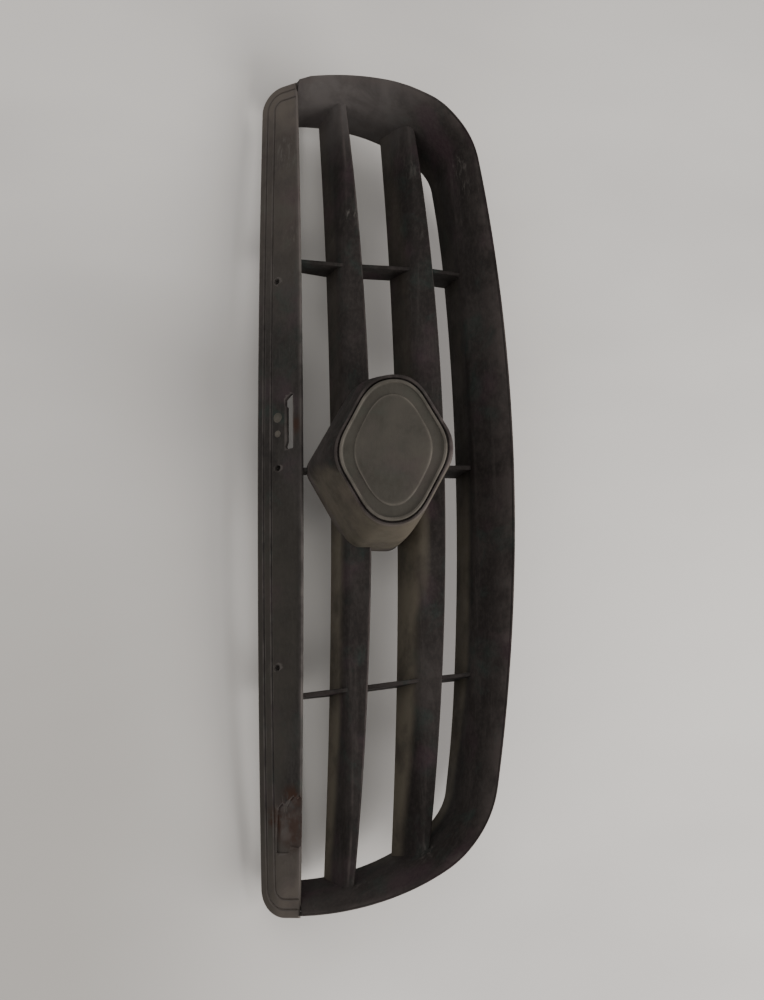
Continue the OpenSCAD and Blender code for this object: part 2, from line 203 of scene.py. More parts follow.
def spring_steel():
    n = Nodes("spring_steel")
    fine = n.noise(900, 2, 0.5, stretch=(0.05, 1, 1))
    n.link(n.blend(n.ramp(n.noise(120, 3), 0.5, 0.7), (0.42, 0.42, 0.40), (0.24, 0.20, 0.16)),
           n.shader.inputs["Base Color"])
    n.link(n.bump(fine, 0.0001, 0.4), n.shader.inputs["Normal"])
    n.link(n.ramp(fine, 0.3, 0.7, 0.32, 0.5), n.shader.inputs["Roughness"])
    n.shader.inputs["Metallic"].default_value = 1.0
    return n.material


def backdrop():
    """Pale matte sheet with painted shade behind the grille, clear when seen from its back."""
    n = Nodes("sheet")
    folds = n.noise(5, 3, 0.5, stretch=(1, 1, 0.5))
    cloth_and_painted_shade = n.blend(n.ramp(folds, 0.3, 0.7), (0.59, 0.575, 0.56), (0.67, 0.655, 0.635))
    # Painted shade: darker above the grille's left end, and a painted shadow, darkest of all,
    # straight behind the grille
    x, z = n.part(n.coords, 0), n.part(n.coords, 2)
    painted_shade_above_left = n.product(n.ramp(z, -0.10, 0.15), n.ramp(x, 0.30, -0.30))
    cloth_and_painted_shade = n.blend(painted_shade_above_left, cloth_and_painted_shade, (0.44, 0.425, 0.405))
    narrowed = n.math("ADD", n.math("ABSOLUTE", x), n.ramp(z, -0.09, -0.18, 0, 0.09))
    painted_shadow_behind = n.product(n.ramp(narrowed, 0.310, 0.250), n.ramp(z, 0.005, -0.020),
                       n.ramp(z, -0.180, -0.160))
    shade = n.blend(n.ramp(z, -0.04, -0.13), (0.42, 0.41, 0.395), (0.29, 0.28, 0.275))
    cloth_and_painted_shade = n.blend(painted_shadow_behind, cloth_and_painted_shade, shade)
    n.link(cloth_and_painted_shade, n.shader.inputs["Base Color"])
    n.link(n.bump(folds, 0.01, 0.5), n.shader.inputs["Normal"])
    n.shader.inputs["Roughness"].default_value = 0.95
    clear = n.tree.nodes.new("ShaderNodeBsdfTransparent")
    choose = n.tree.nodes.new("ShaderNodeMixShader")
    n.link(n.geometry("Backfacing"), choose.inputs[0])
    n.link(n.shader.outputs[0], choose.inputs[1])
    n.link(clear.outputs[0], choose.inputs[2])
    n.link(choose.outputs[0], n.output.inputs["Surface"])
    return n.material


RUST, SCRATCHED = (0.040, 0.021, 0.015), (0.14, 0.13, 0.12)
PALE_EDGE_RANGE = (0.11, 0.32)  # the value at which an edge starts to look pale, from wear and a painted highlight, and is fully so


def weathered(name, dark, faded, pale, dust_colour, pale_left=1.0, worn_right=0.0,
              coated=False, marks=(), stains=()):
    """Grained plastic: pale ends, tinted blotches, streaks, scuffs, dust, painted light and pale
    edges.

    pale_left is how pale the left end is, against 1 for the right end, and worn_right is
    how pale the whole right half is. marks are pale scuffs and stains are brown ones, both
    as (x, y, z, reach) in millimetres. Coated plastic has dust all over.
    """
    n = Nodes(name)

    def tint(*factors):
        return tuple(c * f for c, f in zip(faded, factors))

    # In metres: x and y from the middle of the rail's front edge, z from the frame's zero
    x = n.math("ADD", n.part(n.coords, 0), ORIGIN.x / 1000)
    y = n.math("ADD", n.part(n.coords, 1), ORIGIN.y / 1000)
    z = n.part(n.coords, 2)
    out = n.math("ABSOLUTE", x)
    patches = n.noise(12, 4, 0.65)
    blotches = n.noise(40, 4, 0.65, distortion=0.5)
    streaks = n.noise(85, 4, 0.7, stretch=(0.1, 1.6, 1.6))
    colour = n.blend(n.ramp(patches, 0.42, 0.70, 0, 0.8), dark, faded)
    colour = n.blend(n.ramp(blotches, 0.50, 0.72, 0, 0.6), colour, tint(0.55, 0.95, 0.90))
    violet = n.noise(26, 2, 0.5, stretch=(1, 1.3, 0.8))
    colour = n.blend(n.ramp(violet, 0.52, 0.72, 0, 0.6), colour, tint(1.05, 0.70, 0.95))
    colour = n.blend(n.ramp(streaks, 0.50, 0.78, 0, 0.7), colour, faded)
    speckle = n.noise(400, 3, 0.75, stretch=(0.6, 1, 1))
    colour = n.blend(n.ramp(speckle, 0.42, 0.70, 0, 0.22), colour, tint(1.35, 1.33, 1.30))
    colour = n.blend(n.ramp(speckle, 0.52, 0.32, 0, 0.18), colour, tuple(c * 0.5 for c in dark))
    ends = n.product(n.ramp(out, 0.240, 0.305), n.ramp(z, -0.140, -0.070),
                     n.ramp(x, -0.1, 0.1, pale_left, 1))
    ends = n.math("MAXIMUM", ends, n.product(n.ramp(x, 0.10, 0.20), worn_right))
    colour = n.blend(n.product(ends, n.ramp(blotches, 0.25, 0.65, 0.55, 1)), colour, pale)
    # Dust lies on what faces up, along the rear of each shelf, most of it left of the badge.
    # Close to the badge it spreads over the whole width of the lower bar.
    close = n.product(n.ramp(x, -0.115, -0.055), n.ramp(x, -0.015, -0.040),
                      n.ramp(z, -0.108, -0.098), n.ramp(z, -0.066, -0.074))
    up = n.ramp(n.part(n.geometry("Normal"), 2), 0.30, 0.95)
    up = n.math("MAXIMUM", up, n.product(close, 0.85))
    behind_bow = n.math("SUBTRACT", y, n.product(x, x, BOW / BOW_REF ** 2 * 1000))
    start = n.math("ADD", n.ramp(z, -0.100, -0.045, -0.017, 0.001),
                   n.ramp(out, 0.13, 0.28, 0, 0.013))
    start = n.math("SUBTRACT", start, n.product(close, 0.034))
    deep = n.ramp(n.math("SUBTRACT", behind_bow, start), -0.005, 0.005)
    dust_and_light = n.product(up, deep, n.ramp(x, 0.02, -0.06, 0.2, 1))
    # The badge seat's sides that face left, towards the key lamp, are painted paler in the dust
    # colour: dust and painted light.
    seat_dust_and_light = n.product(n.ramp(n.part(n.geometry("Normal"), 0), -0.05, -0.45),
                     n.ramp(out, 0.070, 0.060), n.ramp(x, 0.0, -0.015, 0, 0.75))
    dust_and_light = n.math("MAXIMUM", dust_and_light, seat_dust_and_light)
    if coated:
        dust_and_light = n.ramp(patches, 0.3, 0.7, 0.5, 1)
    dust_and_light = n.product(dust_and_light, n.ramp(n.noise(30, 4, 0.65), 0.25, 0.6, 0.40, 1))
    colour = n.blend(dust_and_light, colour, dust_colour)
    rust = n.ramp(n.noise(90, 4, 0.65), 0.34, 0.54)
    for stain in stains:
        colour = n.blend(n.product(n.near(*stain), rust), colour, RUST)
    # Short pale scratches where something rubbed, and edges painted pale, partly wear and partly a
    # painted highlight
    scratch = n.ramp(n.noise(260, 4, 0.7, stretch=(0.35, 1.1, 1.3), distortion=0.3), 0.48, 0.68)
    rubbed = n.ramp(n.noise(16, 2, 0.5), 0.62, 0.76, 0, 0.4)
    for mark in marks:
        rubbed = n.math("MAXIMUM", rubbed, n.near(*mark))
    colour = n.blend(n.product(scratch, rubbed, 0.5), colour, SCRATCHED)
    edge_wear_and_highlight = n.product(n.ramp(n.attribute("wear_and_highlight"), *PALE_EDGE_RANGE),
                     n.ramp(n.noise(55, 3, 0.6), 0.35, 0.65, 0.15, 0.75))
    colour = n.blend(edge_wear_and_highlight, colour, tint(2.0, 1.95, 1.95))
    n.link(colour, n.shader.inputs["Base Color"])
    grain = n.noise(1500, 2, 0.6)
    n.link(n.bump(streaks, 0.0004, 0.35, n.bump(grain, 0.00012, 0.6)), n.shader.inputs["Normal"])
    n.link(n.ramp(blotches, 0.3, 0.7, 0.56, 0.76), n.shader.inputs["Roughness"])
    n.shader.inputs["Specular IOR Level"].default_value = 0.13
    return n.material


GRILLE = weathered(
    "grille_plastic", dark=(0.0170, 0.0142, 0.0134), faded=(0.043, 0.037, 0.035),
    pale=(0.094, 0.085, 0.082), dust_colour=(0.112, 0.098, 0.075), pale_left=0.12,
    marks=((-291, 4, -38, 13), (-279, -9, -86, 13), (239, -2, -90, 16), (203, 2, -38, 13),
           (186, -8, -93, 12), (236, -30, -119, 14), (216, -30, -125, 12)))
RAIL = weathered(
    "rail_plastic", dark=(0.024, 0.0212, 0.0203), faded=(0.047, 0.043, 0.0405),
    pale=(0.112, 0.097, 0.085), dust_colour=(0.048, 0.0435, 0.037), worn_right=0.5,
    marks=((254, 20, 11, 15), (265, 20, 12, 13), (187, 12, 7, 10), (-245, 22, 10, 14)),
    stains=((-259, 18, 7, 20), (-252, 28, 17, 13), (35, 8, 3, 12), (-238, 16, 6, 14)))
BADGE = weathered(
    "badge_plastic", dark=(0.036, 0.0330, 0.0285), faded=(0.064, 0.0590, 0.0510),
    pale=(0.06, 0.055, 0.05), dust_colour=(0.072, 0.0665, 0.0560), coated=True)
STEEL = spring_steel()

# What the CAD's own nodes are made of, where it isn't the grille's plastic
materials = {"badge_plate": BADGE, "badge_push_nuts": STEEL, "lower_spring_clips": STEEL,
             "top_rail": RAIL}
for name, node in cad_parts.items():
    node.data.materials.clear()
    node.data.materials.append(materials.get(name, GRILLE))

# ---- Outline of the surround: three tangent arcs on each side ----
BOTTOM_CZ = BOTTOM_Z + BOTTOM_R


def corner_centre():
    to_side = Vector((SIDE_CX, SIDE_CZ - BOTTOM_CZ))
    gap = to_side.length
    along = ((BOTTOM_R - CORNER_R) ** 2 - (SIDE_R - CORNER_R) ** 2 + gap ** 2) / (2 * gap)
    aside = math.sqrt((BOTTOM_R - CORNER_R) ** 2 - along ** 2)
    to_side.normalize()
    return Vector((0, BOTTOM_CZ)) + to_side * along + Vector((-to_side.y, to_side.x)) * aside


CORNER = corner_centre()
BOTTOM_END = math.atan2(CORNER.x, BOTTOM_CZ - CORNER.y)
CORNER_END = math.atan2(CORNER.x - SIDE_CX, SIDE_CZ - CORNER.y)

# Each row: at the middle, at the corner's foot, at its head, at the rail.
RIDGE_IN = (25.6, 15, 12.5, 12.5)
WALL_IN = (30, 19.5, 23.5, 24.5)
LIP_Y = (-49, -50, -42, 11)
RIDGE_Y = (-24.4, -15, -19.5, 28)
WALL_Y = (6.6, 17, 26.6, 49.4)
RIDGE_SOFT = (3, 5, 10, 10)
LIP_RETURN = 14

# The rail's underside: the height it starts from in front, and the depth behind which it
# drops away, and how steeply
UNDER_FRONT, UNDER_REAR, UNDER_DROP = -0.5, 23.5, 3.5


def keyed_at(row, s):
    """A row's value at path position s: 0 the middle, 1 and 2 the corner's ends, 3 the rail."""
    if s < 1:
        return mix(row[0], row[1], s * s)
    if s < 2:
        return mix(row[1], row[2], smooth(s - 1))
    left_to_go = math.cos(mix(CORNER_END, math.pi / 2, s - 2)) / math.cos(CORNER_END)
    return mix(row[2], row[3], 1 - left_to_go)


def keyed(row, s):
    """A mean over a short stretch of the path, so that nothing changes with a kink."""
    s = abs(s)
    reach = min(0.25, 3 - s)
    return sum(keyed_at(row, abs(s + reach * k)) for k in (-1, -0.5, 0, 0.5, 1)) / 5


def outline(s):
    """The outline's point (x, z) and its inward direction at path position s."""
    t, side = abs(s), (-1 if s < 0 else 1)
    if t < 1:
        a, centre, r = BOTTOM_END * t, Vector((0, BOTTOM_CZ)), BOTTOM_R
    elif t < 2:
        a, centre, r = mix(BOTTOM_END, CORNER_END, t - 1), CORNER, CORNER_R
    else:
        a, centre, r = mix(CORNER_END, math.pi / 2, t - 2), Vector((SIDE_CX, SIDE_CZ)), SIDE_R
    x, z = centre.x + r * math.sin(a), centre.y - r * math.cos(a)
    return Vector((side * x, z)), Vector((-side * math.sin(a), math.cos(a)))


def rounded(corners, count=5):
    """A closed polygon's points with its corners (x, y, radius) softened.

    One more point on each straight run keeps the pale edge, wear and painted highlight, close to
    its corner.
    """
    points = []
    for i, (x, y, r) in enumerate(corners):
        p = Vector((x, y))
        before = Vector(corners[i - 1][:2]) - p
        after = Vector(corners[(i + 1) % len(corners)][:2]) - p
        run = after.length
        before *= min(r, before.length * 0.45) / before.length
        after *= min(r, run * 0.45) / run
        points += [p + before * (1 - t) ** 2 + after * t ** 2 for t in steps(0, 1, count)]
        points.append(p + after * (1 + min(1.0, 0.1 * (run - 2 * after.length)) / after.length))
    return points


def left_normal(v):
    return Vector((-v.y, v.x))


def meet(p, u, q, v):
    """Where the line p + s*u meets the line q + t*v."""
    return p + u * ((q - p).cross(v) / u.cross(v))


def surround_section(s):
    """Closed loop of (inward distance, y): lip, sloping face, ridge and the wall behind."""
    lip = Vector((0, keyed(LIP_Y, s)))
    ridge = Vector((keyed(RIDGE_IN, s), keyed(RIDGE_Y, s)))
    rear = Vector((keyed(WALL_IN, s), keyed(WALL_Y, s)))
    face, back = (ridge - lip).normalized(), (rear - ridge).normalized()
    under_face, under_back = left_normal(face) * WALL, left_normal(back) * WALL
    inner_ridge = meet(ridge + under_face, face, ridge + under_back, back)
    inner_lip = meet(lip + under_face, face, Vector((WALL, 0)), Vector((0, 1)))
    corners = ((lip + Vector((0, LIP_RETURN)), 0.6), (lip, 2.2), (ridge, keyed(RIDGE_SOFT, s)),
               (rear, 0.9), (rear + under_back, 0.9), (inner_ridge, 2), (inner_lip, 1),
               (Vector((WALL, lip.y + LIP_RETURN)), 0.6))
    return rounded([(*p, r) for p, r in corners])


def under_rail(x, y):
    """Height of the rail's underside, dropping away behind its rear edge."""
    p = y - bow(x)
    drop = UNDER_DROP * max(0, p - UNDER_REAR)
    return max(UNDER_FRONT, p - drop + RAIL_LIFT - RAIL_SKIN)


def surround_ring(s):
    at, inward = outline(s)
    return [Vector((at.x + inward.x * q.x, q.y, at.y + inward.y * q.x))
            for q in surround_section(s)]


def surround_top(side):
    ring = surround_ring(side * 3)
    return [Vector((p.x, p.y, under_rail(p.x, p.y))) for p in ring]


# ---- Mesh building ----
def mark_wear_and_highlight(mesh, plain=()):
    """Stores how sharply each point stands out from its neighbours, but for the plain ones: pale
    wear and highlight.
    """
    work = bmesh.new()
    work.from_mesh(mesh)
    values = [sum(max(0, v.normal.dot((v.co - e.other_vert(v).co).normalized()))
                  for e in v.link_edges) for v in work.verts]
    for i in plain:
        values[i] = 0
    work.free()
    if "wear_and_highlight" not in mesh.attributes:
        mesh.attributes.new("wear_and_highlight", "FLOAT", "POINT")
    mesh.attributes["wear_and_highlight"].data.foreach_set("value", values)


def piece(name, points, faces, material, stands_for=(), crease=38, pale_edges=True):
    """A smooth-shaded object from points in millimetres, riding on the grille's one body."""
    mesh = bpy.data.meshes.new(name)
    mesh.from_pydata([place(*p) for p in points], [], faces)
    mesh.validate()
    work = bmesh.new()
    work.from_mesh(mesh)
    bmesh.ops.recalc_face_normals(work, faces=work.faces)
    work.to_mesh(mesh)
    work.free()
    if pale_edges:
        mark_wear_and_highlight(mesh)
    mesh.materials.append(material)
    mesh.shade_smooth()
    mesh.set_sharp_from_angle(angle=math.radians(crease))
    obj = bpy.data.objects.new(name, mesh)
    bpy.context.scene.collection.objects.link(obj)
    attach(obj, "root")
    if stands_for:
        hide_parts(*stands_for)
    return obj


def loft(rings, tube=False):
    """Faces joining closed rings of points in order.

    A tube's last ring joins its first. Anything else has a cap at each end.
    """
    n = len(rings[0])
    faces = [(r * n + i, r * n + (i + 1) % n, (r + 1) * n + (i + 1) % n, (r + 1) * n + i)
             for r in range(len(rings) - 1) for i in range(n)]
    last = (len(rings) - 1) * n
    if tube:
        return faces + [(last + i, last + (i + 1) % n, (i + 1) % n, i) for i in range(n)]
    return faces + [tuple(range(n - 1, -1, -1)), tuple(range(last, last + n))]


def lofted(name, rings, material, stands_for=(), crease=38, tube=False):
    """A loft whose two end rings, where it meets its neighbours, get no pale edge of wear and
    painted highlight.
    """
    points = [p for ring in rings for p in ring]
    obj = piece(name, points, loft(rings, tube), material, stands_for, crease)
    if not tube:
        n, count = len(rings[0]), len(obj.data.vertices)
        mark_wear_and_highlight(obj.data, [*range(n), *range(count - n, count)])
    return obj


def bevel(obj, width):
    """Gives a piece small round edges, width in millimetres."""
    mod = obj.modifiers.new("edges", "BEVEL")
    mod.width, mod.segments = width / 1000, 2
    mod.limit_method, mod.angle_limit = "ANGLE", math.radians(40)


# ---- Surround ----
# A ring's first point past the lip, on the sloping face, and how pale it is painted, for wear and
# a highlight
BESIDE_LIP, LIP_WEAR_AND_HIGHLIGHT = 13, 0.27


def surround(name, rings):
    """A length of the surround.

    The lip's pale band, wear and painted highlight, is carried a little way up the sloping
    face, and each end is as pale as what is next to it.
    """
    wear_and_highlight = lofted(name + "_shell", rings, GRILLE, [name]).data.attributes["wear_and_highlight"].data
    values, n = [point.value for point in wear_and_highlight], len(rings[0])
    values[BESIDE_LIP::n] = [LIP_WEAR_AND_HIGHLIGHT] * len(rings)
    values[:n], values[-n:] = values[n:2 * n], values[-2 * n:-n]
    wear_and_highlight.foreach_set("value", values)


surround("surround_bottom", [surround_ring(s) for s in steps(-1, 1, 160)])
for side, name in ((-1, "surround_left"), (1, "surround_right")):
    rings = [surround_ring(side * s) for s in steps(1, 2, 40) + steps(2, 2.86, 36)[1:]]
    top = surround_top(side)
    rings += [[a.lerp(b, smooth(u)) for a, b in zip(rings[-1], top)] for u in steps(0, 1, 10)[1:]]
    surround(name, rings)


# ---- Louvre bars ----
# How far out the ridge starts to sink, over what length, and how much of its way down it goes
SINK_FROM, SINK_OVER, SINK = 120, 160, 0.55
# How much further in the shelf runs, from what depth, and over what depth it gets there
RUN_ON, RUN_ON_FROM, RUN_ON_OVER = 9, 5, 4
# Where the sections are taken that say where a bar's two ends are
INNER_X, OUTER_X = 30, 290
# How far inward of the outline the surround's inner face is, about
FACE_IN = 14


class Bar:
    """A shelf running back from a ridge, and a face going down from it to a lower edge.

    Each line is its place (y, z) at the middle and its rise at BOW_REF.
    """

    def __init__(self, ridge, rear, low):
        self.ridge, self.rear, self.low = ridge, rear, low

    def at(self, line, x):
        y, z, rise = line
        return Vector((y + bow(x), z + rise * (x / BOW_REF) ** 2))

    def chain(self, x):
        """Rear edge, ridge and lower edge at x, and how far the ridge has sunk, from 0 to 1.

        It sinks towards the lower edge at the bar's outer end.
        """
        ridge, rear = self.at(self.ridge, x), self.at(self.rear, x)
        face = Vector((self.low[0] - self.ridge[0], self.low[1] - self.ridge[1])).normalized()
        low_z = self.low[1] + self.low[2] * (x / BOW_REF) ** 2
        low = ridge + face * ((low_z - ridge.y) / face.y)
        sunk = smooth(min(1, max(0, (abs(x) - SINK_FROM) / SINK_OVER)))
        return rear, ridge.lerp(low, SINK * sunk), low, sunk

    def section(self, x):
        rear, ridge, low, sunk = self.chain(x)
        face, shelf = (low - ridge).normalized(), (ridge - rear).normalized()
        under_shelf, under_face = left_normal(shelf) * WALL, left_normal(face) * WALL
        inner = meet(ridge + under_face, face, rear + under_shelf, shelf)
        corners = ((rear, 1.0), (ridge, mix(7, 12, sunk)), (low, 1.3), (low + under_face, 1.0),
                   (inner, mix(3, 8, sunk)), (rear + under_shelf, 1.0))
        return rounded([(*p, r) for p, r in corners], 7)


UPPER_BAR = Bar(ridge=(-3.8, -29.2, 6.9), rear=(23.8, -24.8, 4.6), low=(-9.7, -48.9, 12.3))
LOWER_BAR = Bar(ridge=(-19.4, -80.5, 8.6), rear=(9.3, -72.3, 6.4), low=(-24.5, -101, 16.2))


def wall_x(y, z):
    """How far from the middle the surround's inner face is, at depth y and height z."""
    rise = SIDE_CZ - z
    angle = math.pi / 2 - math.asin(rise / (SIDE_R - FACE_IN))
    s = 2 + (angle - CORNER_END) / (math.pi / 2 - CORNER_END)
    lip, ridge, rear = ((0, keyed(LIP_Y, s)), (keyed(RIDGE_IN, s), keyed(RIDGE_Y, s)),
                        (keyed(WALL_IN, s), keyed(WALL_Y, s)))
    a, b = (lip, ridge) if y < ridge[1] else (ridge, rear)
    inward = mix(a[0], b[0], (y - a[1]) / (b[1] - a[1]))
    return SIDE_CX + math.sqrt((SIDE_R - inward) ** 2 - rise ** 2)


def seat_x(z):
    """Half-width of the badge seat's foot at height z, a little inside its wall."""
    beyond = (abs(z - SEAT_Z) / (BADGE_H + SEAT_GROW) - HEX_FLAT) / (1 - HEX_FLAT)
    return max(1.5, (BADGE_W + SEAT_GROW) * (1 - max(0, beyond)) - 2)


def bar_rings(bar, side):
    """A half-bar's rings, from the badge seat, where the shelf runs on behind it, outwards."""
    inner = [seat_x(p.y) - RUN_ON * min(1, max(0, (p.x - RUN_ON_FROM) / RUN_ON_OVER))
             for p in bar.section(INNER_X)]
    outer = [wall_x(p.x, p.y) + 1 for p in bar.section(OUTER_X)]
    rings = []
    for u in steps(0, 1, 90):
        xs = [mix(a, b, u) for a, b in zip(inner, outer)]
        rings.append([Vector((side * x, *bar.section(x)[i])) for i, x in enumerate(xs)])
    return rings


for bar, name in ((UPPER_BAR, "upper_bar"), (LOWER_BAR, "lower_bar")):
    for side, word in ((-1, "left"), (1, "right")):
        lofted(f"{name}_{word}_blade", bar_rings(bar, side), GRILLE, [f"{name}_{word}"])


# ---- Upright ribs ----
RIB_EDGE, RIB_LEAN = 0.55, math.tan(math.radians(6.3))
# The heights where each side's upper, middle and lower ribs are fitted to what they meet
RIB_HEIGHTS = (-25, -60, -105)


def rib(name, outline_points, x0, lean, node):
    """A flat rib through z = 0 at x0, leaning so that x grows by lean for each unit of height."""
    points, n = [], len(outline_points)
    for offset in (-RIB_T / 2, RIB_T / 2):
        points += [Vector((x0 + offset + lean * z, y, z)) for y, z in outline_points]
    faces = [(i, (i + 1) % n, n + (i + 1) % n, n + i) for i in range(n)]
    faces += [tuple(range(n - 1, -1, -1)), tuple(range(n, 2 * n))]
    bevel(piece(name, points, faces, GRILLE, [node], pale_edges=False), RIB_EDGE)


def bar_top(bar, x):
    """A line just under the top surface of a bar at x, from its ridge to its rear edge."""
    rear, ridge, low, _ = bar.chain(x)
    return [(low.x * 0.4 + ridge.x * 0.6 + 1.2, low.y * 0.4 + ridge.y * 0.6),
            (ridge.x + 3.2, ridge.y - 1.5), (rear.x - 0.6, rear.y - 0.8)]


def bar_bottom(bar, x):
    """A line just inside the underside of a bar at x: rear edge, inner corner, lower edge."""
    rear, ridge, low, _ = bar.chain(x)
    return [(rear.x - 0.6, rear.y - 1.2), (ridge.x + 5, ridge.y - 2.2),
            (low.x + 2.2, low.y + 1.5)]


def floor_under(x):
    """The surround's ridge and wall edge below distance x from the middle."""
    s = math.asin(abs(x) / BOTTOM_R) / BOTTOM_END
    z = BOTTOM_CZ - math.sqrt(BOTTOM_R ** 2 - x ** 2)
    return [(keyed(RIDGE_Y, s) + 1.5, z + keyed(RIDGE_IN, s) - 0.8),
            (keyed(WALL_Y, s) - 0.6, z + keyed(WALL_IN, s) - 0.8)]


for side, word in ((-1, "left"), (1, "right")):
    at = [RIB_X + z * RIB_LEAN for z in RIB_HEIGHTS]
    rear_y = UPPER_BAR.at(UPPER_BAR.rear, at[0]).x - 0.6
    top = [(rear_y, under_rail(RIB_X, rear_y) + 0.6), (2.4 + bow(at[0]), 0.4)]
    fins = {"upper": top + bar_top(UPPER_BAR, at[0]),
            "middle": bar_bottom(UPPER_BAR, at[1]) + bar_top(LOWER_BAR, at[1]),
            "lower": bar_bottom(LOWER_BAR, at[2]) + floor_under(at[2])}
    for level, points in fins.items():
        rib(f"{word}_{level}_fin", points, side * RIB_X, side * RIB_LEAN, f"{word}_rib_{level}")


# ---- Badge seat ----
def hexagon(w, h, soft):
    """Rounded six-sided outline, with points at the top and the bottom."""
    corners = [(w, HEX_FLAT * h), (0, h), (-w, HEX_FLAT * h),
               (-w, -HEX_FLAT * h), (0, -h), (w, -HEX_FLAT * h)]
    points = []
    for i, corner in enumerate(corners):
        p = Vector(corner)
        u, v = Vector(corners[i - 1]) - p, Vector(corners[(i + 1) % 6]) - p
        u *= min(soft, 0.48 * u.length) / u.length
        v *= min(soft, 0.48 * v.length) / v.length
        points += [p + u * (1 - t) ** 2 + v * t ** 2 for t in steps(0, 1, 12)]
    return points


def seat_hex(inset):
    return hexagon(BADGE_W + SEAT_GROW - inset, BADGE_H + SEAT_GROW - inset, 8)


def face_hex(inset):
    return hexagon(BADGE_W - inset, BADGE_H - inset, 18)


def on_face(p, deep):
    """A place on the tilted pad: p is across and up its face, deep is behind it."""
    return Vector((p.x, -BADGE_OUT + p.y * math.sin(BADGE_TILT) + deep * math.cos(BADGE_TILT),
                   BADGE_Z + p.y * math.cos(BADGE_TILT) - deep * math.sin(BADGE_TILT)))


def on_seat(p, y):
    return Vector((p.x, y, SEAT_Z + p.y))


def curve(a, b, c, t):
    return a * (1 - t) ** 2 + b * (2 * t * (1 - t)) + c * t ** 2


# How far forward the seat's side stays straight, and where it then turns towards the pad
KNEE, WAIST = 0.55, 0.42
SEAT_WALL = 2.6


def skirt_side(inset):
    """Rings from the foot of the seat to its front, at a distance inside its surface."""
    foot = [on_seat(p, SEAT_REAR) for p in seat_hex(inset)]
    knee = [on_seat(p, SEAT_FRONT * KNEE) for p in seat_hex(inset)]
    waist = [on_seat(p, mix(SEAT_FRONT, on_face(p, 0).y, WAIST)) for p in seat_hex(inset + 0.4)]
    neck = [on_face(p, 2.2) for p in face_hex(inset - 1.2)]
    straight = [[a.lerp(b, t) for a, b in zip(foot, knee)] for t in (0.5, 1)]
    curved = [[curve(a, b, c, t) for a, b, c in zip(knee, waist, neck)]
              for t in steps(0, 1, 14)[1:]]
    return [foot] + straight + curved


# Around the seat's front edge: how far in, and how deep
SEAT_RIM = ((-1.1, 1.3), (-0.7, 0.7), (0.0, 0.4), (1.0, 0.4), (1.4, 0.8), (1.5, 3.2), (2.6, 3.2))
rim = [[on_face(p, deep) for p in face_hex(inset)] for inset, deep in SEAT_RIM]
inside = [[on_face(p, 6) for p in face_hex(SEAT_WALL)]] + skirt_side(SEAT_WALL)[::-1][1:]
lofted("badge_skirt_shell", skirt_side(0) + rim + inside, GRILLE, ["badge_skirt"], 42, tube=True)

# A pad with a raised rim, a shallow recess and a low panel of the same outline
PAD = ((2.75, 3.3), (2.75, 0.0), (2.9, -0.35), (3.3, -0.6), (4.2, -0.6), (4.8, -0.45), (5.3, 0.5),
       (5.8, 0.8), (12.6, 0.8), (13.2, 0.7), (14.0, -0.05), (14.8, -0.2), (20, -0.25), (30, -0.35))
rings = [[on_face(p, deep) for p in face_hex(inset)] for inset, deep in PAD]
lofted("badge_pad", rings, BADGE, ["badge_plate"], 30)


# ---- Top rail ----
SLOPE = math.sqrt(0.5)
REAR_END = RAIL_HALF - RAIL_CORNER
RAIL_T = RAIL_SKIN * SLOPE
ROUND = 1.1


def on_rail(x, w, up=0.0):
    """A place on the rail: w along its slope from the front edge, up from its top face."""
    return Vector((x, (w - up) * SLOPE + bow(x), (w + up) * SLOPE + RAIL_LIFT))


def rear_w(x):
    return (RAIL_DEPTH - RAIL_TAPER * (x / BOW_REF) ** 2) / SLOPE


def rail_path():
    """The rail's outline from one front corner round to the other.

    Each point is its place (x, w) and its inward direction.
    """
    corner_w = rear_w(REAR_END) - RAIL_CORNER
    half = [(Vector((-RAIL_HALF, w)), Vector((1, 0))) for w in steps(ROUND, corner_w, 6)]
    for a in steps(0, math.pi / 2, 16)[1:]:
        out = Vector((-math.cos(a), math.sin(a)))
        half.append((Vector((-REAR_END, corner_w)) + out * RAIL_CORNER, -out))
    half += [(Vector((x, rear_w(x))), Vector((0, -1))) for x in steps(-REAR_END, 0, 130)[1:]]
    return half + [(Vector((-p.x, p.y)), Vector((-v.x, v.y))) for p, v in half[-2::-1]]


DIP_HALF, DIP_DEEP = 0.95, 1.1


def dip(at):
    """A groove's points: distance in from the edge, height."""
    return [(at + DIP_HALF * a, -DIP_DEEP * d) for a, d in
            ((-1, 0), (-0.6, 0.25), (-0.25, 0.85), (0, 1), (0.25, 0.85), (0.6, 0.25), (1, 0))]


GROOVES = [(2.3, 0), (4.4, 0)] + dip(4.2 / SLOPE) + [(7.6, 0), (11.3, 0)] + dip(9.2 / SLOPE)
# Where the outline's columns come to the front edge: how far from its end the first one is,
# how far apart the next are, and how many there are before the evenly spaced ones
FRONT_FIRST, FRONT_STEP, FRONT_COUNT = 2, 0.4, 22
# Down the rolled edge: how far out from the face's border, and the height
RAIL_ROLL = ((0.6, -0.15), (0.95, -0.6), (ROUND, -1.3), (ROUND, -2.2), (0.7, -RAIL_T))


